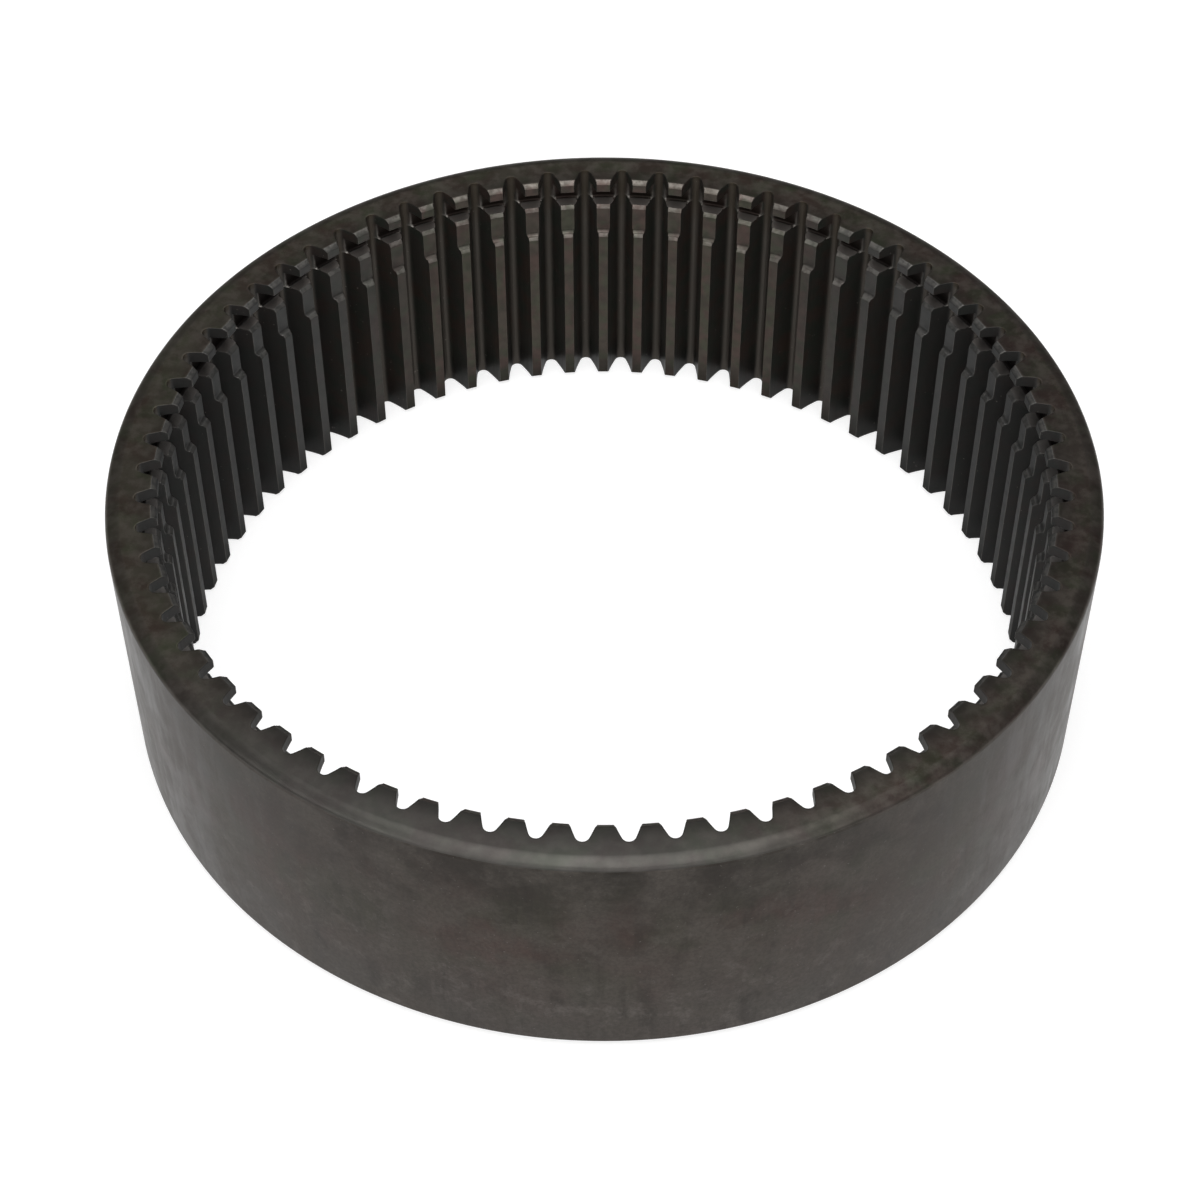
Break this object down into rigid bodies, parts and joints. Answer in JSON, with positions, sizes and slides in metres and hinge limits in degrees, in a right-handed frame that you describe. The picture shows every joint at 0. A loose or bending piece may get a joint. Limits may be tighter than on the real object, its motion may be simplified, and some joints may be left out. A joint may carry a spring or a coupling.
{
  "type": "internal ring gear",
  "caption": "Steel internal ring gear with straight involute teeth cut right through its bore, a turned recess and a retaining-ring groove at one end, and a plain round outside.",
  "frame": {"origin": "centre of the lower end face, on the gear's axis", "axes": "+Z is the gear's axis, from the plain end up to the end with the recess and groove; +X passes through the middle of a tooth space"},
  "size_m": [0.27, 0.27, 0.077],
  "materials": {
    "dark_steel": "dark heat-treated and oiled, satin"
  },
  "bodies": {
    "root": {"ring_gear": "dark_steel"}
  },
  "joints": []
}
